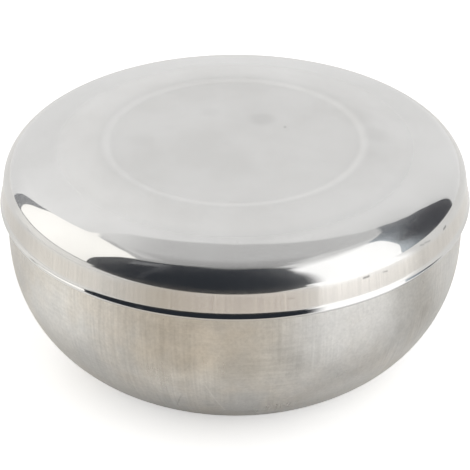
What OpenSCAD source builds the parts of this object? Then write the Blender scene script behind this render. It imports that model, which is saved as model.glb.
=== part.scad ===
// Rice bowl with a lid: a pressed steel bowl, and a pressed steel lid that slips over its rim.
// Millimetres. +Z is up, and the origin is the middle of the base, on the surface the bowl stands on.

/* [Sheet] */
// Thickness of the steel sheet
sheet = 0.5; // [0.4:0.05:0.7]

/* [Bowl] */
// Diameter of the wall where it is widest
bowl_d = 106.8; // [104:0.2:107]
// Height at which the wall is widest
belly_z = 32; // [30:0.5:34]
// Radius of the upper wall's curve, from belly to rim
wall_r = 80; // [70:1:100]
// Radius of the lower wall's curve, from belly to foot
turn_r = 32.7; // [31:0.1:34]
// Radius of the bend around the base
foot_r = 4.8; // [3:0.1:6]
// Diameter of the flat base
base_d = 72.6; // [70:0.2:76]

/* [Lid] */
// Diameter over the lid's lip
lid_d = 110; // [109.6:0.2:112]
// Height of the lip's lowest point
lip_z = 36.6; // [35.6:0.1:38]
// Height of the ring where the lid is tallest
lid_top = 51.6; // [50.6:0.1:53]
// Radius of the domed top
dome_r = 236; // [200:1:320]
// Radius of the rounded shoulder
shoulder_r = 6.5; // [5.5:0.1:7.5]
// Lean of the skirt from upright, in degrees
skirt_lean = 7; // [5:0.5:9]
// Radius of the bend that flares the lip outwards
lip_r = 3.4; // [2.6:0.1:4.2]
// Lean of the lip where its edge starts to roll under, in degrees from upright
lip_lean = 28; // [24:1:32]
// Inner radius of the rolled edge
roll_r = 0.15; // [0.1:0.05:0.3]
// Angle through which the edge is rolled under, in degrees
roll_turn = 150; // [130:5:170]

/* [Pressed disc] */
// Diameter of the flat disc in the middle of the lid
disc_d = 57; // [52:0.2:62]
// Depth of the disc below the ring around it
disc_depth = 0.2; // [0.1:0.05:0.4]
// Radius of the two bends between disc and ring
ring_r = 8; // [5:0.5:12]

/* [Hidden] */
$fn = 180;

// Height by which the lid clears the rim it sits on
seat_gap = 0.05;
// Largest distance between a curve of the outline and its straight steps
step_error = 0.005;
half = sheet / 2;

function along(angle) = [cos(angle), sin(angle)];

function heading(from, to) = atan2(to.y - from.y, to.x - from.x);

// Where two circles cross, on the left of the line from a to b
function crossing(a, a_r, b, b_r) =
  let (apart = norm(b - a))
  let (way = (b - a) / apart)
  let (run = (a_r ^ 2 - b_r ^ 2 + apart ^ 2) / (2 * apart))
  a + run * way + sqrt(a_r ^ 2 - run ^ 2) * [-way.y, way.x];

// Points around a centre, from one angle to another. A radius below 0 bends the sheet the other way.
function arc(centre, radius, from, to) =
  let (steps = ceil(abs(to - from) / (2 * acos(1 - step_error / abs(radius)))))
  [for (i = [0:steps]) centre + radius * along(from + (to - from) * i / steps)];

// One face of a sheet that runs through a list of bends, each [centre, mid-sheet radius, from, to]
function face(bends, side) = [for (b = bends, p = arc(b[0], b[1] + side, b[2], b[3])) p];

function backwards(points) = [for (i = [len(points) - 1:-1:0]) points[i]];

// Lip: the centre of its rolled edge and where the roll ends, the centre of the flare, and the skirt's foot
roll_c = [lid_d / 2 - roll_r - sheet, lip_z + roll_r + sheet];
roll_end = lip_lean - roll_turn;
lid_edge = roll_c + (roll_r + half) * along(roll_end);
lip_c = roll_c + (lip_r + roll_r + sheet) * along(lip_lean);
skirt_foot = lip_c - (lip_r + half) * along(skirt_lean);

// Pressed disc: the slope between its two bends, and their centres
disc_z = lid_top - disc_depth;
ring_slope = acos(1 - disc_depth / (2 * ring_r));
ring_in_c = [disc_d / 2, disc_z + ring_r];
ring_out_c = [disc_d / 2 + 2 * ring_r * sin(ring_slope), lid_top - ring_r];

// Dome: its centre on the axis, and the angle at which it leaves the ring
dome_start = acos(ring_out_c.x / (dome_r - ring_r));
dome_c = [0, ring_out_c.y - (dome_r - ring_r) * sin(dome_start)];

// Shoulder: slid up the skirt until it runs into the dome
skirt_way = along(skirt_lean + 90);
shoulder_low = skirt_foot - (shoulder_r - half) * along(skirt_lean);
shoulder_run = (shoulder_low - dome_c) * skirt_way;
shoulder_off = norm(shoulder_low - dome_c);
skirt_h = sqrt(shoulder_run ^ 2 - shoulder_off ^ 2 + (dome_r - shoulder_r) ^ 2) - shoulder_run;
shoulder_c = shoulder_low + skirt_h * skirt_way;
dome_end = heading(dome_c, shoulder_c);

// Bowl wall: the centres of its three curves, and the rim where the lid's shoulder meets it
wall_c = [bowl_d / 2 - wall_r, belly_z];
foot_c = [base_d / 2, foot_r];
turn_c = crossing(wall_c, wall_r - turn_r, foot_c, turn_r - foot_r);
wall_low = heading(wall_c, turn_c);
turn_low = heading(turn_c, foot_c);
seat_c = shoulder_c - [0, seat_gap];
rim_edge = crossing(wall_c, wall_r - half, seat_c, shoulder_r - sheet - half);
rim_at = heading(wall_c, rim_edge);

// Sheet turned about the axis: flat in the middle at the given height, then bent, with a round edge
module pressed(middle_z, up, bends, edge, edge_from, edge_to) {
  rotate_extrude()
    polygon(concat(
      [[0, middle_z + up * half]],
      face(bends, half),
      arc(edge, half, edge_from, edge_to),
      backwards(face(bends, -half)),
      [[0, middle_z - up * half]]
    ));
}

module bowl() {
  foot = [foot_c, foot_r - half, -90, turn_low];
  turn = [turn_c, turn_r - half, turn_low, wall_low];
  wall = [wall_c, wall_r - half, wall_low, rim_at];
  color("silver")
    pressed(half, -1, [foot, turn, wall], rim_edge, rim_at, rim_at + 180);
}

module lid() {
  ring_in = [ring_in_c, -ring_r - half, 90, 90 + ring_slope];
  ring_out = [ring_out_c, ring_r - half, 90 + ring_slope, dome_start];
  dome = [dome_c, dome_r - half, dome_start, dome_end];
  shoulder = [shoulder_c, shoulder_r - half, dome_end, skirt_lean];
  lip = [lip_c, -lip_r - half, skirt_lean, lip_lean];
  roll = [roll_c, roll_r + half, lip_lean, roll_end];
  bends = [ring_in, ring_out, dome, shoulder, lip, roll];
  color("gainsboro")
    pressed(disc_z - half, 1, bends, lid_edge, roll_end, roll_end - 180);
}

bowl();
lid();
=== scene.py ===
"""Looks of a rice bowl and its lid, two sheets of pressed steel turned about +Z, in a small studio."""
import math

import bmesh
import bpy
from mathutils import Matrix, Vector, noise


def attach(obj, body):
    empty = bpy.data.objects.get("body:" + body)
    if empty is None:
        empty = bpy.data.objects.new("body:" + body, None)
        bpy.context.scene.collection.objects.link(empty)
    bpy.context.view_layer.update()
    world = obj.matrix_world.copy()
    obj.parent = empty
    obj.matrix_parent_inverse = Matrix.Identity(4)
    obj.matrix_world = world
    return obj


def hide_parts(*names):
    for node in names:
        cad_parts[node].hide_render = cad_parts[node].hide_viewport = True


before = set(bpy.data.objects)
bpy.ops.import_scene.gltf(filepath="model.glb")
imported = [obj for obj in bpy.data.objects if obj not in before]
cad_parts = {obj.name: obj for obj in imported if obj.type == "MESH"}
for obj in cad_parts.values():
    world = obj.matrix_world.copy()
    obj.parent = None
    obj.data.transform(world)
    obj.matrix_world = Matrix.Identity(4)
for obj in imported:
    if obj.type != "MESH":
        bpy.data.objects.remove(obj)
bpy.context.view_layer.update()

MM = 0.001

# Outline, in millimetres and degrees, with the same driving sizes and formulas as the solids
SHEET = 0.5
BOWL_D, BELLY_Z, WALL_R, TURN_R, FOOT_R, BASE_D = 106.8, 32, 80, 32.7, 4.8, 72.6
LID_D, LIP_Z, LID_TOP, DOME_R, SHOULDER_R = 110, 36.6, 51.6, 236, 6.5
SKIRT_LEAN, LIP_R, LIP_LEAN, ROLL_R, ROLL_TURN = 7, 3.4, 28, 0.15, 150
DISC_D, DISC_DEPTH, RING_R = 57, 0.2, 8
SEAT_GAP = 0.05
HALF = SHEET / 2


def along(angle):
    return Vector((math.cos(math.radians(angle)), math.sin(math.radians(angle))))


def heading(start, end):
    return math.degrees(math.atan2(end.y - start.y, end.x - start.x))


def crossing(a, a_r, b, b_r):
    """Where two circles cross, on the left of the line from a to b."""
    apart = (b - a).length
    way = (b - a) / apart
    run = (a_r**2 - b_r**2 + apart**2) / (2 * apart)
    return a + run * way + math.sqrt(a_r**2 - run**2) * Vector((-way.y, way.x))


# Lip: the centre of its rolled edge and where the roll ends, the centre of the flare, and the skirt's foot
roll_c = Vector((LID_D / 2 - ROLL_R - SHEET, LIP_Z + ROLL_R + SHEET))
roll_end = LIP_LEAN - ROLL_TURN
lip_c = roll_c + (LIP_R + ROLL_R + SHEET) * along(LIP_LEAN)
skirt_foot = lip_c - (LIP_R + HALF) * along(SKIRT_LEAN)

# Pressed disc: the slope between its two bends, and their centres
disc_z = LID_TOP - DISC_DEPTH
ring_slope = math.degrees(math.acos(1 - DISC_DEPTH / (2 * RING_R)))
ring_in_c = Vector((DISC_D / 2, disc_z + RING_R))
ring_out_c = Vector((DISC_D / 2 + 2 * RING_R * math.sin(math.radians(ring_slope)), LID_TOP - RING_R))

# Dome: its centre on the axis, and the angle at which it leaves the ring
dome_start = math.degrees(math.acos(ring_out_c.x / (DOME_R - RING_R)))
dome_c = Vector((0, ring_out_c.y - (DOME_R - RING_R) * math.sin(math.radians(dome_start))))

# Shoulder: slid up the skirt until it runs into the dome
skirt_way = along(SKIRT_LEAN + 90)
shoulder_low = skirt_foot - (SHOULDER_R - HALF) * along(SKIRT_LEAN)
shoulder_run = (shoulder_low - dome_c).dot(skirt_way)
shoulder_off = (shoulder_low - dome_c).length
skirt_h = math.sqrt(shoulder_run**2 - shoulder_off**2 + (DOME_R - SHOULDER_R) ** 2) - shoulder_run
shoulder_c = shoulder_low + skirt_h * skirt_way
skirt_top = shoulder_c + (SHOULDER_R - HALF) * along(SKIRT_LEAN)
dome_end = heading(dome_c, shoulder_c)

# Bowl wall: the centres of its three curves, and the rim where the lid's shoulder meets it
wall_c = Vector((BOWL_D / 2 - WALL_R, BELLY_Z))
foot_c = Vector((BASE_D / 2, FOOT_R))
turn_c = crossing(wall_c, WALL_R - TURN_R, foot_c, TURN_R - FOOT_R)
wall_low = heading(wall_c, turn_c)
turn_low = heading(turn_c, foot_c)
seat_c = shoulder_c - Vector((0, SEAT_GAP))
rim_edge = crossing(wall_c, WALL_R - HALF, seat_c, SHOULDER_R - SHEET - HALF)
rim_at = heading(wall_c, rim_edge)

# Least distance between two stations of a line, in mm
JOIN_GAP = 0.001


def flat(length, z, normal, steps):
    """Stations across a flat middle: (point in mid-sheet, outward normal)."""
    return [(Vector((length * i / steps, z)), normal) for i in range(steps + 1)]


def bend(centre, radius, start, end, steps):
    """Stations along a bend. A radius below 0 bends the sheet the other way."""
    angles = [start + (end - start) * i / steps for i in range(steps + 1)]
    return [(centre + radius * along(a), along(a)) for a in angles]


def straight(start, end, normal, steps):
    """Stations between two bends, without their ends."""
    return [(start.lerp(end, i / steps), normal) for i in range(1, steps)]


def chain(*runs):
    """Runs joined end to end, without the doubled stations where they meet."""
    stations = []
    for run in runs:
        for point, normal in run:
            if not stations or (point - stations[-1][0]).length > JOIN_GAP:
                stations.append((point, normal))
    return stations


lid_line = chain(
    flat(DISC_D / 2, disc_z - HALF, along(90), steps=16),
    bend(ring_in_c, -RING_R - HALF, 90, 90 + ring_slope, steps=8),
    bend(ring_out_c, RING_R - HALF, 90 + ring_slope, dome_start, steps=14),
    bend(dome_c, DOME_R - HALF, dome_start, dome_end, steps=20),
    bend(shoulder_c, SHOULDER_R - HALF, dome_end, SKIRT_LEAN, steps=44),
    straight(skirt_top, skirt_foot, along(SKIRT_LEAN), steps=8),
    bend(lip_c, -LIP_R - HALF, SKIRT_LEAN, LIP_LEAN, steps=14),
    bend(roll_c, ROLL_R + HALF, LIP_LEAN, roll_end, steps=16),
)
bowl_line = chain(
    flat(BASE_D / 2, HALF, along(-90), steps=24),
    bend(foot_c, FOOT_R - HALF, -90, turn_low, steps=20),
    bend(turn_c, TURN_R - HALF, turn_low, wall_low, steps=44),
    bend(wall_c, WALL_R - HALF, wall_low, rim_at, steps=20),
)

# Unevenness of hand-finished sheet, in mm: how deep it dips below the drawn face, and over what lengths
DIP = 0.016
DIP_LONG, DIP_SHORT = 21, 8
DIP_SHORT_SHARE = 0.3
# Gain that brings the noise up to its full range, and the height below which the dips fade out
DIP_GAIN = 1.6
FLAT_BELOW = 1.5


def dip(x, y, z, shift):
    """Depth of the unevenness at a point, at most 2 * DIP and none where the bowl stands."""
    place = Vector((x, y, z + shift))
    wave = noise.noise(place / DIP_LONG) + DIP_SHORT_SHARE * noise.noise(place / DIP_SHORT)
    wave = max(-1, min(1, wave / (1 + DIP_SHORT_SHARE) * DIP_GAIN))
    return DIP * (1 + wave) * min(1, z / FLAT_BELOW)


# Steps around the axis and around the sheet's edge, and the radius in mm that counts as none
SEGMENTS = 320
EDGE_STEPS = 12
ON_AXIS = 1e-6
# Material slots of a sheet
OUTSIDE, INSIDE, BASE = 0, 1, 2


def sheet_rows(line, edge_from, edge_to):
    """Points and normals from the outer face around the edge to the inner face, and where that starts."""
    rows = [(p + HALF * n, n) for p, n in line]
    point, normal = line[-1]
    for i in range(1, EDGE_STEPS):
        angle = edge_from + (edge_to - edge_from) * i / EDGE_STEPS
        rows.append((point + HALF * along(angle), normal))
    inner = len(rows)
    rows += [(p - HALF * n, n) for p, n in reversed(line)]
    return rows, inner


def row_vertices(point, normal, shift):
    """A row's vertices around the axis, in metres, with the dips. A row on the axis has one."""
    vertices = []
    for i in range(1 if point.x < ON_AXIS else SEGMENTS):
        turn = 2 * math.pi * i / SEGMENTS
        way = Vector((math.cos(turn), math.sin(turn), 0))
        x, y = point.x * way.x, point.x * way.y
        depth = dip(x, y, point.y, shift)
        vertices.append((
            (x - depth * normal.x * way.x) * MM,
            (y - depth * normal.x * way.y) * MM,
            (point.y - depth * normal.y) * MM,
        ))
    return vertices


def row_faces(a, a_r, b, b_r):
    """Faces between two rows, from each row's first vertex and radius."""
    faces = []
    for i in range(SEGMENTS):
        j = (i + 1) % SEGMENTS
        if a_r < ON_AXIS:
            faces.append((a, b + i, b + j))
        elif b_r < ON_AXIS:
            faces.append((a + i, b, a + j))
        else:
            faces.append((a + i, b + i, b + j, a + j))
    return faces


def placed(name, data):
    """An object in the scene, at the origin."""
    piece = bpy.data.objects.new(name, data)
    bpy.context.scene.collection.objects.link(piece)
    return piece


def turned(name, line, edge_from, edge_to, shift, materials, base_r=0):
    """A sheet turned about Z. The outer face has the base's material out to base_r."""
    rows, inner = sheet_rows(line, edge_from, edge_to)
    vertices, starts = [], []
    for point, normal in rows:
        starts.append(len(vertices))
        vertices += row_vertices(point, normal, shift)
    faces, slots = [], []
    for k in range(len(rows) - 1):
        a_r, b_r = rows[k][0].x, rows[k + 1][0].x
        if k >= inner:
            slot = INSIDE
        else:
            slot = BASE if max(a_r, b_r) <= base_r + ON_AXIS else OUTSIDE
        faces += row_faces(starts[k], a_r, starts[k + 1], b_r)
        slots += [slot] * SEGMENTS
    mesh = bpy.data.meshes.new(name)
    mesh.from_pydata(vertices, [], faces)
    mesh.polygons.foreach_set("material_index", slots)
    mesh.polygons.foreach_set("use_smooth", [True] * len(faces))
    work = bmesh.new()
    work.from_mesh(mesh)
    bmesh.ops.recalc_face_normals(work, faces=work.faces)
    work.to_mesh(mesh)
    work.free()
    for material in materials:
        mesh.materials.append(material)
    return placed(name, mesh)


class Nodes:
    """The nodes of a material or world. Most methods add nodes and give their output."""

    def __init__(self, tree):
        self.nodes, self.links = tree.nodes, tree.links

    def put(self, socket, value):
        if isinstance(value, bpy.types.NodeSocket):
            self.links.new(value, socket)
        else:
            socket.default_value = value

    def math(self, operation, a, b=0.0):
        node = self.nodes.new("ShaderNodeMath")
        node.operation = operation
        self.put(node.inputs[0], a)
        self.put(node.inputs[1], b)
        return node.outputs[0]

    def total(self, first, *rest):
        for value in rest:
            first = self.math("ADD", first, value)
        return first

    def product(self, first, *rest):
        for value in rest:
            first = self.math("MULTIPLY", first, value)
        return first

    def vector_math(self, operation, a, b=None):
        node = self.nodes.new("ShaderNodeVectorMath")
        node.operation = operation
        self.put(node.inputs[0], a)
        if b is not None:
            self.put(node.inputs["Scale" if operation == "SCALE" else 1], b)
        return node.outputs["Value" if operation in ("LENGTH", "DISTANCE", "DOT_PRODUCT") else 0]

    def vector(self, x, y, z):
        node = self.nodes.new("ShaderNodeCombineXYZ")
        for socket, value in zip(node.inputs, (x, y, z)):
            self.put(socket, value)
        return node.outputs[0]

    def split(self, vector):
        node = self.nodes.new("ShaderNodeSeparateXYZ")
        self.put(node.inputs[0], vector)
        return node.outputs

    def step(self, value, low, high, at_low=0.0, at_high=1.0):
        """Smooth change from one value to another as the input goes from low to high."""
        node = self.nodes.new("ShaderNodeMapRange")
        node.interpolation_type = "SMOOTHSTEP"
        self.put(node.inputs["Value"], value)
        for name, number in (("From Min", low), ("From Max", high), ("To Min", at_low), ("To Max", at_high)):
            self.put(node.inputs[name], number)
        return node.outputs[0]

    def mix(self, share, a, b):
        """A blend of two colours. The node's colour sockets are inputs 6 and 7 and output 2."""
        node = self.nodes.new("ShaderNodeMix")
        node.data_type = "RGBA"
        self.put(node.inputs[0], share)
        self.put(node.inputs[6], (*a, 1) if isinstance(a, tuple) else a)
        self.put(node.inputs[7], (*b, 1) if isinstance(b, tuple) else b)
        return node.outputs[2]

    def ramp(self, value, *stops):
        """Grey levels along a value, as (at, level) pairs."""
        node = self.nodes.new("ShaderNodeValToRGB")
        self.put(node.inputs[0], value)
        for _ in range(len(stops) - 2):
            node.color_ramp.elements.new(0.5)
        for element, (at, level) in zip(node.color_ramp.elements, stops):
            element.position = at
            element.color = (level, level, level, 1)
        return node.outputs[0]

    def seen(self, otherwise, camera, mirrored):
        """One strength for camera rays, one for rays from shiny or clear surfaces, one for the rest.

        The mix node's number sockets are inputs 2 and 3 and output 0.
        """
        path = self.nodes.new("ShaderNodeLightPath")
        strength = otherwise
        rays = (("Is Glossy Ray", mirrored), ("Is Transmission Ray", mirrored), ("Is Camera Ray", camera))
        for ray, value in rays:
            level = self.nodes.new("ShaderNodeMix")
            self.put(level.inputs[0], path.outputs[ray])
            self.put(level.inputs[2], strength)
            self.put(level.inputs[3], value)
            strength = level.outputs[0]
        return strength


def empty_material(name):
    material = bpy.data.materials.new(name)
    material.use_nodes = True
    material.node_tree.nodes.clear()
    return material


NOISE_MIDDLE = 0.5
# Radius at which the wall is unrolled to place marks on it, in metres
UNROLL_R = 0.05
# Share of a mark's reach over which it has its full strength, for spots and for streaks
SPOT_CORE, STREAK_CORE = 0.3, 0.2
# Noise that breaks up hair scratches: how much finer it is than theirs, its seed counted from theirs, and
# the levels between which it lets them show
BREAK_SCALE, BREAK_SEED = 2.2, 7
BREAK_LOW, BREAK_HIGH = 0.52, 0.62


class Steel(Nodes):
    """A steel material, with the places on the object that it is painted by, in metres."""

    def __init__(self, name):
        self.material = empty_material(name)
        super().__init__(self.material.node_tree)
        self.shader = self.nodes.new("ShaderNodeBsdfPrincipled")
        self.shader.inputs["Metallic"].default_value = 1.0
        output = self.nodes.new("ShaderNodeOutputMaterial")
        self.links.new(self.shader.outputs[0], output.inputs["Surface"])
        self.place = self.nodes.new("ShaderNodeTexCoord").outputs["Object"]
        self.x, self.y, self.z = self.split(self.place)
        self.flat = self.vector(self.x, self.y, 0.0)
        self.r = self.vector_math("LENGTH", self.flat)
        around = self.product(self.math("ARCTAN2", self.y, self.x), UNROLL_R)
        self.unrolled = self.vector(around, self.z, 0.0)

    def noise(self, scale, detail=2.0, rough=0.5, seed=0.0, place=None):
        node = self.nodes.new("ShaderNodeTexNoise")
        node.noise_dimensions = "4D"
        self.put(node.inputs["Vector"], self.place if place is None else place)
        for name, number in (("W", seed), ("Scale", scale), ("Detail", detail), ("Roughness", rough)):
            node.inputs[name].default_value = number
        return node.outputs[0]

    def across(self, value, zone, at_start, at_end):
        """Smooth change across a zone, given as its start and end in mm."""
        start, end = zone
        return self.step(value, start * MM, end * MM, at_start, at_end)

    def before(self, value, zone):
        return self.across(value, zone, 1.0, 0.0)

    def after(self, value, zone):
        return self.across(value, zone, 0.0, 1.0)

    def factor(self, mask, change):
        """A factor of 1, and of 1 + change where the mask is 1."""
        return self.math("ADD", 1.0, self.product(mask, change))

    def swing(self, wave, amount, mask=1.0):
        """A factor that swings about 1 with noise, where the mask is 1."""
        return self.factor(self.product(self.math("SUBTRACT", wave, NOISE_MIDDLE), mask), amount)

    def drawn_out(self, per_radian, per_metre, run):
        """Noise drawn out into lines: so many waves per radian around the axis, and per metre of a run."""
        x, y = (self.product(self.math("DIVIDE", side, self.r), per_radian) for side in (self.x, self.y))
        return self.noise(1.0, rough=0.6, place=self.vector(x, y, self.product(run, per_metre)))

    def upright(self, per_radian, per_metre):
        """Fine lines that run up the wall."""
        return self.drawn_out(per_radian, per_metre, self.z)

    def rings(self, per_radian, per_metre):
        """Fine lines that run around the axis."""
        return self.drawn_out(per_radian, per_metre, self.math("ADD", self.r, self.z))

    def hairs(self, scale, width, seed):
        """Hair scratches: thin lines where noise passes its middle, broken up by finer noise."""
        wave = self.math("SUBTRACT", self.noise(scale, detail=1, rough=0.4, seed=seed), NOISE_MIDDLE)
        line = self.step(self.math("ABSOLUTE", wave), 0.0, width, 1.0, 0.0)
        gaps = self.noise(BREAK_SCALE * scale, detail=1, seed=seed + BREAK_SEED)
        return self.product(line, self.step(gaps, BREAK_LOW, BREAK_HIGH))

    def spot(self, x, y, reach):
        """A soft round spot on the lid's top, in mm."""
        away = self.vector_math("DISTANCE", self.flat, (x * MM, y * MM, 0))
        return self.before(away, (SPOT_CORE * reach, reach))

    def streak(self, start, end, reach):
        """A soft line on the wall or skirt. Its ends are (degrees around the axis, height in mm)."""
        a, b = (Vector((math.radians(turn) * UNROLL_R, z * MM, 0)) for turn, z in (start, end))
        way, length = (b - a).normalized(), (b - a).length
        from_a = self.vector_math("SUBTRACT", self.unrolled, a)
        run = self.math("MAXIMUM", self.vector_math("DOT_PRODUCT", from_a, way), 0.0)
        run = self.math("MINIMUM", run, length)
        away = self.vector_math("DISTANCE", from_a, self.vector_math("SCALE", way, run))
        return self.before(away, (STREAK_CORE * reach, reach))

    def streaks(self, marks):
        """A factor for each mark, given as a streak and its change of tone."""
        return [self.factor(self.streak(start, end, reach), change) for start, end, reach, change in marks]

    def bump(self, height, depth):
        """Raises the surface by a height from 0 to 1 times a depth in mm."""
        node = self.nodes.new("ShaderNodeBump")
        node.inputs["Strength"].default_value = 1.0
        node.inputs["Distance"].default_value = depth * MM
        self.put(node.inputs["Height"], height)
        self.put(self.shader.inputs["Normal"], node.outputs[0])

    def finish(self, colour, shades, roughness):
        shaded = self.vector_math("SCALE", colour, self.product(*shades))
        self.put(self.shader.inputs["Base Color"], shaded)
        self.put(self.shader.inputs["Roughness"], roughness)
        return self.material


def zone(size, start, end):
    """A zone in mm, with its start and end counted from one of the outline's sizes."""
    return size + start, size + end


# Zones where one finish of the lid gives way to the next: by radius, and on the skirt by height
DISC_EDGE = zone(DISC_D / 2, -0.2, 1.1)
RING_INNER, RING_OUTER = zone(DISC_D / 2, -0.1, 1.2), zone(DISC_D / 2, 1.4, 3.1)
RING_TO_DOME = zone(DISC_D / 2, 1.5, 6.5)
TOP_EDGE = zone(DISC_D / 2, 2.5, 12.5)
DOME_EDGE = zone(LID_D / 2, -16.5, -11)
SKIRT_LOW, SKIRT_HIGH = zone(LIP_Z, 1.4, 2.6), zone(LIP_Z, 5.2, 7.4)

POLISHED, SMUDGED, SKIRT_SATIN = (0.652, 0.648, 0.640), (0.616, 0.611, 0.601), (0.63, 0.605, 0.57)

# Haze and fog are noise finer than the eye sees, so that part of the steel is rough and the rest a mirror
HAZE_SCALE = 40000

# Spots on the lid's top: place and reach in mm, and change of tone
LID_SPOTS = (
    (11.7, 6.4, 0.45, -0.35),
    (6.4, 10.3, 4.2, -0.07),
    (4.0, 12.0, 9.0, -0.02),
    (32.6, 2.5, 4.5, -0.04),
    (-22.0, 0.1, 5.0, -0.03),
    (-5.9, 13.8, 3.0, -0.03),
)
# Marks on the skirt and wall: both ends (degrees around the axis, height in mm), reach in mm, change of tone
SKIRT_NICKS = (
    ((-58.6, 42.45), (-57.3, 42.5), 0.42, -0.5),
    ((-53.0, 42.2), (-51.9, 42.0), 0.32, -0.3),
    ((-29.6, 43.3), (-28.6, 43.45), 0.5, -0.55),
    ((-40.2, 43.9), (-38.9, 43.6), 0.3, -0.25),
    ((-38.4, 43.75), (-36.3, 43.4), 0.3, -0.25),
    ((-77.6, 41.5), (-76.4, 41.3), 0.3, -0.15),
)


def lid_outside():
    """Polished: hazy on top, painted brighter on the ring as a painted highlight, a mirror on the shoulder,
    satin on the skirt.
    """
    steel = Steel("lid_outside")
    disc = steel.before(steel.r, DISC_EDGE)
    ring = steel.product(steel.after(steel.r, RING_INNER), steel.before(steel.r, RING_OUTER))
    top = steel.before(steel.r, TOP_EDGE)
    dome = steel.before(steel.r, DOME_EDGE)
    skirt = steel.product(steel.before(steel.z, SKIRT_HIGH), steel.after(steel.z, SKIRT_LOW))
    smudge = steel.noise(55, detail=4, rough=0.55)
    haze = steel.step(steel.noise(HAZE_SCALE, detail=0), 0.56, 0.62)
    fog = steel.product(steel.step(steel.noise(HAZE_SCALE, detail=0, seed=9), 0.45, 0.51), dome)
    lines = steel.upright(per_radian=80, per_metre=40)
    hairs = steel.hairs(scale=70, width=0.006, seed=3)
    colour = steel.mix(steel.step(smudge, 0.35, 0.7), POLISHED, SMUDGED)
    colour = steel.mix(skirt, colour, SKIRT_SATIN)
    # Painted light: the dome is painted 8 to 12 % brighter, to set how bright it mirrors the studio
    dome_painted_light = steel.product(dome, dome, steel.across(steel.r, RING_TO_DOME, 0.08, 0.12))
    shades = [
        steel.swing(lines, 0.3, skirt),
        # Painted shade: the disc is painted 2 % darker
        steel.factor(disc, -0.02),
        # Painted highlight: the ring's colour is raised for the bright line along its bend
        steel.factor(ring, 0.07),
        steel.math("ADD", 1.0, dome_painted_light),
        *(steel.factor(steel.spot(x, y, reach), change) for x, y, reach, change in LID_SPOTS),
        *steel.streaks(SKIRT_NICKS),
        steel.factor(hairs, -0.03),
    ]
    rough = steel.total(
        0.03,
        steel.product(top, 0.07),
        steel.product(fog, 0.55),
        steel.product(skirt, 0.10),
        steel.product(smudge, steel.math("ADD", top, skirt), 0.05),
        steel.product(haze, steel.across(steel.z, SKIRT_LOW, 0.12, 0.32)),
    )
    relief = steel.math("SUBTRACT", steel.product(lines, skirt), steel.product(hairs, 0.4))
    steel.bump(relief, depth=0.004)
    return steel.finish(colour, shades, rough)


SATIN, WARM_STAIN, GREY_STAIN = (0.625, 0.613, 0.588), (0.605, 0.57, 0.518), (0.578, 0.572, 0.556)

WALL_SCRATCHES = (
    ((-97.4, 17.6), (-92.8, 7.2), 0.28, 0.10),
    ((-104.2, 12.4), (-106.5, 7.4), 0.30, -0.16),
    ((-97.2, 9.6), (-96.2, 9.7), 0.9, -0.10),
    ((-117.1, 17.6), (-104.8, 19.2), 2.2, 0.06),
    ((-104.8, 19.2), (-97.2, 23.0), 1.8, 0.06),
    ((-97.2, 23.0), (-94.0, 27.5), 1.4, 0.05),
)
WALL_STAINS = (
    ((-45.8, 24.6), (-45.2, 23.8), 2.2, -0.12),
    ((-47.0, 22.2), (-46.6, 21.4), 2.6, -0.08),
    ((-35.8, 24.6), (-35.2, 23.8), 2.4, -0.10),
    ((-78.0, 25.0), (-76.6, 24.0), 4.0, -0.05),
    ((-107.0, 31.2), (-103.6, 31.0), 3.0, -0.05),
    ((-66.5, 18.8), (-65.0, 18.2), 3.0, -0.05),
    ((-107.0, 25.0), (-101.0, 23.6), 4.0, -0.07),
    ((-97.4, 33.0), (-96.6, 20.0), 3.6, 0.08),
    ((-90.0, 25.4), (-86.8, 23.6), 4.2, -0.09),
    ((-74.8, 23.4), (-73.2, 22.0), 3.6, -0.06),
    ((-112.5, 32.2), (-109.5, 31.4), 5.0, -0.06),
    ((-110.0, 15.6), (-104.0, 13.4), 3.6, 0.08),
    ((-58.0, 15.6), (-49.0, 18.6), 2.6, -0.06),
    ((-51.0, 26.0), (-48.0, 28.0), 5.0, -0.09),
    ((-92.0, 21.5), (-88.0, 20.5), 4.5, -0.06),
    ((-68.0, 14.5), (-60.0, 15.0), 4.0, -0.06),
)


def bowl_outside():
    """Satin, with warm and grey stains, grain, wear, and in places fine lines up the wall and around it."""
    steel = Steel("bowl_outside")
    warm = steel.noise(36, detail=4, rough=0.6)
    cool = steel.noise(48, detail=3, rough=0.6, seed=5)
    cloud = steel.noise(85, detail=4, rough=0.6, seed=11)
    mottle = steel.noise(330, detail=3, rough=0.6, seed=29)
    grain = steel.noise(1400, rough=0.6, seed=31)
    lines = steel.upright(per_radian=75, per_metre=45)
    lined = steel.step(steel.noise(50, seed=17), 0.42, 0.6)
    rows = steel.rings(per_radian=3, per_metre=1000)
    crossed = steel.step(steel.noise(60, seed=23), 0.45, 0.65)
    colour = steel.mix(steel.step(warm, 0.4, 0.65), SATIN, WARM_STAIN)
    colour = steel.mix(steel.step(cool, 0.5, 0.68), colour, GREY_STAIN)
    shades = [
        steel.swing(cloud, 0.2),
        steel.swing(mottle, 0.22),
        steel.swing(grain, 0.34),
        steel.swing(lines, 0.46, lined),
        steel.swing(rows, 0.36, crossed),
        *steel.streaks(WALL_SCRATCHES + WALL_STAINS),
        steel.factor(steel.hairs(scale=60, width=0.007, seed=1), -0.06),
        steel.factor(steel.hairs(scale=60, width=0.007, seed=2), 0.05),
    ]
    rough = steel.total(0.20, steel.product(cloud, 0.14), steel.product(lines, 0.06))
    steel.bump(lines, depth=0.008)
    return steel.finish(colour, shades, rough)


INSIDE_TONE, UNDERSIDE_TONE = (0.63, 0.62, 0.60), (0.58, 0.565, 0.54)
CLOUDED = 0.92


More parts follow.
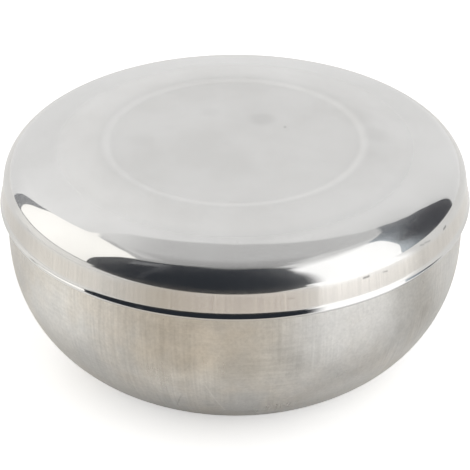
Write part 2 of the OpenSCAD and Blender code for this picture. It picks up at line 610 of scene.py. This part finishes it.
def turned_steel(name, tone):
    """Inside and underside: fine lines around the axis, and darker clouds."""
    steel = Steel(name)
    lines = steel.rings(per_radian=1.2, per_metre=2600)
    cloud = steel.noise(45, detail=3, rough=0.55)
    colour = steel.mix(steel.step(cloud, 0.35, 0.7), tone, tuple(CLOUDED * c for c in tone))
    rough = steel.total(0.20, steel.product(lines, 0.14))
    steel.bump(lines, depth=0.008)
    return steel.finish(colour, [steel.swing(lines, 0.10)], rough)


# Where each piece lies in the noise that makes its sheet uneven, in mm
LID_SHIFT, BOWL_SHIFT = 300, 0

inside = turned_steel("inside_steel", INSIDE_TONE)
underside = turned_steel("underside_steel", UNDERSIDE_TONE)
lid = turned("lid_shell", lid_line, roll_end, roll_end - 180, LID_SHIFT, [lid_outside(), inside])
bowl = turned(
    "bowl_shell", bowl_line, rim_at, rim_at + 180, BOWL_SHIFT,
    [bowl_outside(), inside, underside], base_r=BASE_D / 2,
)
for piece, node in ((lid, "lid"), (bowl, "bowl")):
    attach(piece, node)
    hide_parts(node)


# The studio is made of glowing cards, for the steel to mirror
class Glow(Nodes):
    """A glowing card's material. Places on the card are u and v, each from 0 to 1."""

    def __init__(self, name, colour, strength=1.0):
        self.name = name
        self.material = empty_material(name + "_glow")
        super().__init__(self.material.node_tree)
        self.emission = self.nodes.new("ShaderNodeEmission")
        self.emission.inputs["Color"].default_value = (*colour, 1)
        self.emission.inputs["Strength"].default_value = strength
        self.output = self.nodes.new("ShaderNodeOutputMaterial")
        self.links.new(self.emission.outputs[0], self.output.inputs["Surface"])
        self.uv = self.nodes.new("ShaderNodeTexCoord").outputs["UV"]
        self.u, self.v, _ = self.split(self.uv)

    def tint(self, colour):
        self.links.new(colour, self.emission.inputs["Color"])
        return self

    def fade(self, left=0, right=0, bottom=0, top=0):
        """Makes the card's edges clear, each over a share of its width or height."""
        edges = ((self.u, 0, left), (self.u, 1, -right), (self.v, 0, bottom), (self.v, 1, -top))
        shares = [self.step(place, end, end + share) for place, end, share in edges if share]
        clear = self.nodes.new("ShaderNodeBsdfTransparent")
        blend = self.nodes.new("ShaderNodeMixShader")
        self.links.new(self.product(*shares), blend.inputs[0])
        self.links.new(clear.outputs[0], blend.inputs[1])
        self.links.new(self.emission.outputs[0], blend.inputs[2])
        self.links.new(blend.outputs[0], self.output.inputs["Surface"])
        return self


def studio(glow, vertices, faces, uvs=None, lights=False):
    """A card of the studio that the camera looks past, and that throws no shadow. It may light the floor."""
    mesh = bpy.data.meshes.new(glow.name)
    mesh.from_pydata(vertices, [], faces)
    if uvs:
        layer = mesh.uv_layers.new(name="card")
        for loop in mesh.loops:
            layer.data[loop.index].uv = uvs[loop.vertex_index]
    mesh.materials.append(glow.material)
    piece = placed(glow.name, mesh)
    piece.visible_camera = False
    piece.visible_diffuse = lights
    piece.visible_shadow = False


# Steps of a card's mesh: along each column, and from one given column to the next
CARD_STEPS = 16
COLUMN_STEPS = 6
# Point that the cards stand around, in metres
CARD_CENTRE = Vector((0, 0, 0.045))


def facing(azimuth, elevation):
    """A direction from the object. Azimuth 0 is towards the camera, and 90 is to the right of its view."""
    a, e = math.radians(azimuth), math.radians(elevation)
    return Vector((math.sin(a) * math.cos(e), -math.cos(a) * math.cos(e), math.sin(e)))


def between(ends, share):
    return ends[0] + (ends[1] - ends[0]) * share


def grid_faces(vertices):
    """Faces between columns of vertices, each with CARD_STEPS steps."""
    rows = CARD_STEPS + 1
    corners = [i * rows + j for i in range(len(vertices) // rows - 1) for j in range(CARD_STEPS)]
    return [(k, k + rows, k + rows + 1, k + 1) for k in corners]


def eased(columns):
    """More columns, on a smooth curve through the given ones."""
    ends = [columns[0], *columns, columns[-1]]
    out = []
    for k in range(len(columns) - 1):
        p0, p1, p2, p3 = ends[k:k + 4]
        for i in range(COLUMN_STEPS):
            t = i / COLUMN_STEPS
            out.append([
                b + 0.5 * t * (c - a + t * (2 * a - 5 * b + 4 * c - d + t * (3 * (b - c) + d - a)))
                for a, b, c, d in zip(p0, p1, p2, p3)
            ])
    return out + [columns[-1]]


def card(glow, columns, distance, lights=False):
    """A curved card around the object, from columns of (azimuth, low and high elevation).

    Seen from outside, u runs from left to right and v upwards.
    """
    columns = eased(columns)
    first, last = columns[0][0], columns[-1][0]
    vertices, uvs = [], []
    for azimuth, low, high in columns:
        for j in range(CARD_STEPS + 1):
            v = j / CARD_STEPS
            vertices.append(CARD_CENTRE + distance * facing(azimuth, between((low, high), v)))
            uvs.append(((azimuth - first) / (last - first), v))
    studio(glow, vertices, grid_faces(vertices), uvs, lights)


def standing(foot, *tops):
    """Columns of a card with a level foot, from the azimuth and elevation of points along its top."""
    return [(azimuth, foot, top) for azimuth, top in tops]


def above(columns, low, high):
    """Columns of a card that follows the top of another, between two elevations counted from it."""
    return [(azimuth, top + low, top + high) for azimuth, _, top in columns]


WHITE = (1.0, 1.0, 1.0)
WARM_WHITE = (1.0, 0.985, 0.95)
BLUE_GREY = (0.60, 0.67, 0.73)
GREY = (0.25, 0.26, 0.28)
DARK_GREY = (0.2, 0.205, 0.22)
DARK = (0.027, 0.032, 0.041)
SCREEN_DARK = (0.035, 0.037, 0.048)
TABLE_DARK = (0.042, 0.044, 0.047)


def backdrop():
    """White paper behind the object, brightest near its top except on the right."""
    glow = Glow("backdrop", WHITE, 1.10)
    paper = glow.ramp(
        glow.v, (0.0, 0.95), (0.12, 0.93), (0.4, 0.91), (0.62, 0.94), (0.8, 1.03), (0.93, 1.05), (1.0, 1.0),
    )
    right = glow.ramp(glow.v, (0.0, 0.97), (0.4, 0.95), (0.8, 0.98), (0.9, 0.93), (1.0, 0.80))
    on_right = glow.ramp(glow.u, (0.33, 1.0), (0.37, 0.4), (0.44, 0.0))
    return glow.tint(glow.mix(on_right, paper, right))


def side_screen():
    """Dark screen on the right, blue-grey where it starts beside the softbox and along its top."""
    glow = Glow("side_screen", WHITE).fade(left=0.015, top=0.02)
    beside = glow.ramp(glow.u, (0.0, 1.0), (0.05, 0.9), (0.1, 0.62), (0.15, 0.3), (0.2, 0.06), (0.24, 0.0))
    upwards = glow.ramp(glow.v, (0.6, 0.0), (0.75, 0.02), (0.82, 0.12), (0.9, 0.4), (0.96, 0.7), (1.0, 1.0))
    along_top = glow.product(upwards, glow.ramp(glow.u, (0.6, 1.0), (0.9, 0.3)))
    return glow.tint(glow.mix(glow.math("MAXIMUM", beside, along_top), SCREEN_DARK, BLUE_GREY))


# Columns of the cards, in degrees
BACKDROP = standing(
    -2, (123, 0), (127, 16), (134, 30.5), (143, 38), (150, 40), (157, 41), (159.5, 43.5), (163, 48),
    (170, 51.8), (180, 53.2), (190, 51.5), (199, 47), (212, 41.5), (222, 34.5), (229, 17), (231, 0),
)
CORNER = standing(-2, (-152, 42.5), (-147, 41.5), (-137, 38), (-130, 32), (-124, 20), (-119, -1))
SIDE_SCREEN = standing(
    -1.2, (81.5, 1), (84, 16), (92, 36.5), (104, 48.5), (121, 55.5), (130, 57.8), (140, 55.5), (153, 50),
    (164, 44),
)
SILL = standing(-0.5, (-125, 0.9), (-76, 0.9))
WINDOW = standing(
    0.6, (-163, 46), (-150, 55), (-135, 61), (-118, 65), (-95, 65.5), (-86, 64), (-80, 57), (-74, 45),
    (-72, 34), (-71, 11),
)
WINDOW_FRAME = above(WINDOW[:5], 0, 3.5)
WINDOW_GLOW = [(-172, 40, 57), *above(WINDOW[:6], -2, 11)]
SOFTBOX = standing(
    -1, (32, 52), (40, 67), (48, 73), (64, 76), (80, 76), (98, 74.5), (112, 72), (125, 67.5), (138, 57),
)
SOFTBOX_EDGE = [(24, 62, 70), (36, 63.5, 70), (46, 65.5, 70.5), (56, 66.5, 69.5)]
SOFTBOX_GLOW = [(42, 60, 80), (70, 60, 80), (100, 45, 80), (130, 42, 78), (150, 42, 69), (168, 42, 60)]
FRONT_PANEL = [(-72, 58, 72), (-66, 52, 72), (-57, 34, 70), (-46, 12, 66), (-36, 0, 60)]
FRONT_SCREEN = standing(-2, (-80, 86.5), (45, 86.5))

# Cards from the nearest to the farthest, in metres: where two overlap, the nearer one hides the other
card(backdrop(), BACKDROP, 3.00)
card(Glow("corner_screen", GREY).fade(left=0.3), CORNER, 3.05)
card(side_screen(), SIDE_SCREEN, 3.10)
card(Glow("sill", GREY, 0.5), SILL, 3.12)
card(Glow("window", WARM_WHITE, 1.6).fade(top=0.02), WINDOW, 3.15, lights=True)
card(Glow("window_frame", WHITE, 0.62).fade(left=0.1, right=0.2, top=0.5), WINDOW_FRAME, 3.16)
card(Glow("softbox_edge", DARK).fade(left=0.3, right=0.5, bottom=0.3, top=0.3), SOFTBOX_EDGE, 3.18)
card(Glow("softbox", WHITE, 1.65).fade(left=0.10, right=0.06, top=0.2), SOFTBOX, 3.20, lights=True)
card(Glow("window_glow", WHITE, 1.08).fade(left=0.1, right=0.45, top=0.95), WINDOW_GLOW, 3.24)
card(Glow("softbox_glow", WHITE, 0.95).fade(left=0.2, right=0.22, top=0.25), SOFTBOX_GLOW, 3.25)
card(Glow("front_panel", DARK_GREY).fade(left=0.1, right=0.7, top=0.3), FRONT_PANEL, 3.28)
card(Glow("front_screen", DARK).fade(top=0.10), FRONT_SCREEN, 3.30)

# Ceiling: height and radius in metres, and the sides of its round outline
CEILING_Z, CEILING_R = 3.6, 4.0
CEILING_SIDES = 96


def ceiling():
    """Grey above the object, lighter outwards and dark towards the camera."""
    glow = Glow("ceiling", WHITE)
    reach = glow.vector_math("DISTANCE", glow.uv, (0.5, 0.5, 0))
    outwards = glow.ramp(
        reach, (0.0, 0.42), (0.079, 0.50), (0.162, 0.54), (0.255, 0.63), (0.315, 0.67), (0.425, 0.70),
    )
    backwards = glow.ramp(glow.v, (0.16, 0.1), (0.339, 0.18), (0.421, 0.3), (0.475, 0.8), (0.517, 1.0))
    glow.tint(glow.vector_math("MULTIPLY", outwards, backwards))
    turns = [2 * math.pi * i / CEILING_SIDES for i in range(CEILING_SIDES)]
    ring = [(math.cos(turn), math.sin(turn)) for turn in turns]
    vertices = [(CEILING_R * x, CEILING_R * y, CEILING_Z) for x, y in ring]
    uvs = [(0.5 + x / 2, 0.5 + y / 2) for x, y in ring]
    studio(glow, vertices, [tuple(range(CEILING_SIDES))], uvs)


ceiling()

# Height of one layer of floor cards above the last, in metres. A higher layer hides a lower one.
FLOOR_LAYER = 0.0002


def floor_card(glow, layer, azimuths, reaches):
    """A patch of painted light or shade on the floor, seen only in the steel, between two azimuths and two
    distances from the axis, in metres.

    Seen from outside, u runs from left to right. v runs outwards, so the bottom edge is the near one.
    """
    vertices, uvs = [], []
    for i in range(CARD_STEPS + 1):
        for j in range(CARD_STEPS + 1):
            u, v = i / CARD_STEPS, j / CARD_STEPS
            way = facing(between(azimuths, u), 0)
            vertices.append(Vector((0, 0, layer * FLOOR_LAYER)) + between(reaches, v) * way)
            uvs.append((u, v))
    studio(glow, vertices, grid_faces(vertices), uvs)


# Floor colours: painted shade in front of the bowl, painted light at its outer edge, and a painted shadow on
# the right
BEIGE = (0.755, 0.70, 0.62)
PALE_BEIGE = (1.04, 0.965, 0.905)
PAINTED_SHADOW_GREY = (0.62, 0.61, 0.59)

# Painted light: pools of light on the floor where the window and softbox light it, for the steel to mirror.
# This one lies to the right, far out
floor_card(
    Glow("far_floor_painted_light", WHITE, 1.7).fade(left=0.08, right=0.2, bottom=0.03),
    layer=1, azimuths=(31, 84), reaches=(0.11, 2.9),
)
# Painted light: floor lit by the window on the left
floor_card(
    Glow("left_floor_painted_light", WARM_WHITE, 1.14).fade(left=0.25, right=0.35, bottom=0.04),
    layer=1, azimuths=(-122, -52), reaches=(0.15, 2.9),
)
# Painted light: floor to the right near the bowl, clearing towards it
floor_card(
    Glow("right_floor_painted_light", WHITE, 1.1).fade(left=0.25, right=0.33, bottom=0.28, top=0.4),
    layer=2, azimuths=(22, 72), reaches=(0.058, 0.18),
)
# Painted light: floor to the left near the bowl, clearing towards it
floor_card(
    Glow("left_near_floor_painted_light", WARM_WHITE, 1.1).fade(left=0.35, right=0.35, bottom=0.2, top=0.3),
    layer=2, azimuths=(-100, -44), reaches=(0.05, 0.2),
)
# Painted shade: the floor in front of the bowl, darker and beige, as the steel mirrors it
floor_card(
    Glow("near_floor", BEIGE).fade(left=0.35, right=0.26, bottom=0.17),
    layer=3, azimuths=(-56, 30), reaches=(0.044, 0.22),
)
# Painted light: a lighter band of floor beyond the painted shade in front
floor_card(
    Glow("edge_floor_painted_light", PALE_BEIGE).fade(left=0.45, right=0.35, bottom=0.5),
    layer=4, azimuths=(-34, 40), reaches=(0.13, 0.21),
)
# Painted shadow of the bowl on the floor to its right
floor_card(
    Glow("side_floor_painted_shadow", PAINTED_SHADOW_GREY).fade(left=0.3, right=0.3, bottom=0.1, top=0.3),
    layer=4, azimuths=(60, 90), reaches=(0.05, 0.14),
)

# Dark beyond the table's near edge: its layer, where it starts and ends in metres, and between which azimuths
TABLE_LAYER = 5
TABLE_EDGE, TABLE_REACH = 0.2, 3.2
TABLE_LEFT, TABLE_RIGHT = -66, 31
# Its right corner is cut off: where the cut starts along the edge, and the distance at which it ends
CUT_START, CUT_END = 0.056, 0.33


def table_front():
    """Dark beyond the near edge of the table, as far as the softbox on the right."""
    left, right = math.tan(math.radians(TABLE_LEFT)), math.tan(math.radians(TABLE_RIGHT))
    outline = (
        (TABLE_EDGE * left, -TABLE_EDGE),
        (TABLE_REACH * left, -TABLE_REACH),
        (TABLE_REACH * right, -TABLE_REACH),
        (CUT_END * right, -CUT_END),
        (CUT_START, -TABLE_EDGE),
    )
    vertices = [(x, y, TABLE_LAYER * FLOOR_LAYER) for x, y in outline]
    studio(Glow("table_front", TABLE_DARK), vertices, [tuple(range(len(outline)))])


table_front()

# Floor: half its width in metres, how far it lies below the bowl in mm, and its colour
FLOOR_R = 6.0
FLOOR_DROP = 0.05
FLOOR_COLOUR = (0.87, 0.865, 0.855)


def floor_pale():
    """Pale floor that keeps the shadow, and shows white to the camera where it is lit."""
    material = empty_material("floor_pale")
    tree = Nodes(material.node_tree)
    paper = tree.nodes.new("ShaderNodeBsdfDiffuse")
    paper.inputs["Color"].default_value = (*FLOOR_COLOUR, 1)
    glow = tree.nodes.new("ShaderNodeEmission")
    tree.put(glow.inputs["Strength"], tree.seen(otherwise=0.0, camera=0.46, mirrored=0.04))
    both = tree.nodes.new("ShaderNodeAddShader")
    tree.put(both.inputs[0], paper.outputs[0])
    tree.put(both.inputs[1], glow.outputs[0])
    output = tree.nodes.new("ShaderNodeOutputMaterial")
    tree.put(output.inputs["Surface"], both.outputs[0])
    return material


floor_mesh = bpy.data.meshes.new("floor")
floor_corners = ((-FLOOR_R, -FLOOR_R), (FLOOR_R, -FLOOR_R), (FLOOR_R, FLOOR_R), (-FLOOR_R, FLOOR_R))
floor_mesh.from_pydata([(x, y, 0) for x, y in floor_corners], [], [(0, 1, 2, 3)])
floor_mesh.materials.append(floor_pale())
floor = placed("floor", floor_mesh)
floor.location.z = -FLOOR_DROP * MM

world = bpy.data.worlds.new("studio")
world.use_nodes = True
sky = world.node_tree.nodes["Background"]
sky.inputs["Color"].default_value = (1, 1, 1, 1)
sky_tree = Nodes(world.node_tree)
sky_tree.put(sky.inputs["Strength"], sky_tree.seen(otherwise=0.62, camera=1.0, mirrored=1.0))

scene = bpy.context.scene
scene.world = world
scene.view_settings.view_transform = "Standard"

# Camera: distance in mm to a point on the axis, that point's height, and the angle above the floor
EYE_DISTANCE, EYE_AIM_Z, EYE_ELEVATION = 605, 25.734, 30.946
# Its lens and sensor in mm, and the nearest and farthest that it sees in metres
EYE_LENS, SENSOR_WIDTH = 195.32, 36
EYE_NEAR, EYE_FAR = 0.01, 50

eye = bpy.data.cameras.new("eye")
eye.lens = EYE_LENS
eye.sensor_width = SENSOR_WIDTH
eye.clip_start, eye.clip_end = EYE_NEAR, EYE_FAR
camera = placed("eye", eye)
tilt = math.radians(EYE_ELEVATION)
eye_z = EYE_AIM_Z + EYE_DISTANCE * math.sin(tilt)
camera.location = (0, -EYE_DISTANCE * math.cos(tilt) * MM, eye_z * MM)
camera.rotation_euler = (math.pi / 2 - tilt, 0, 0)
scene.camera = camera
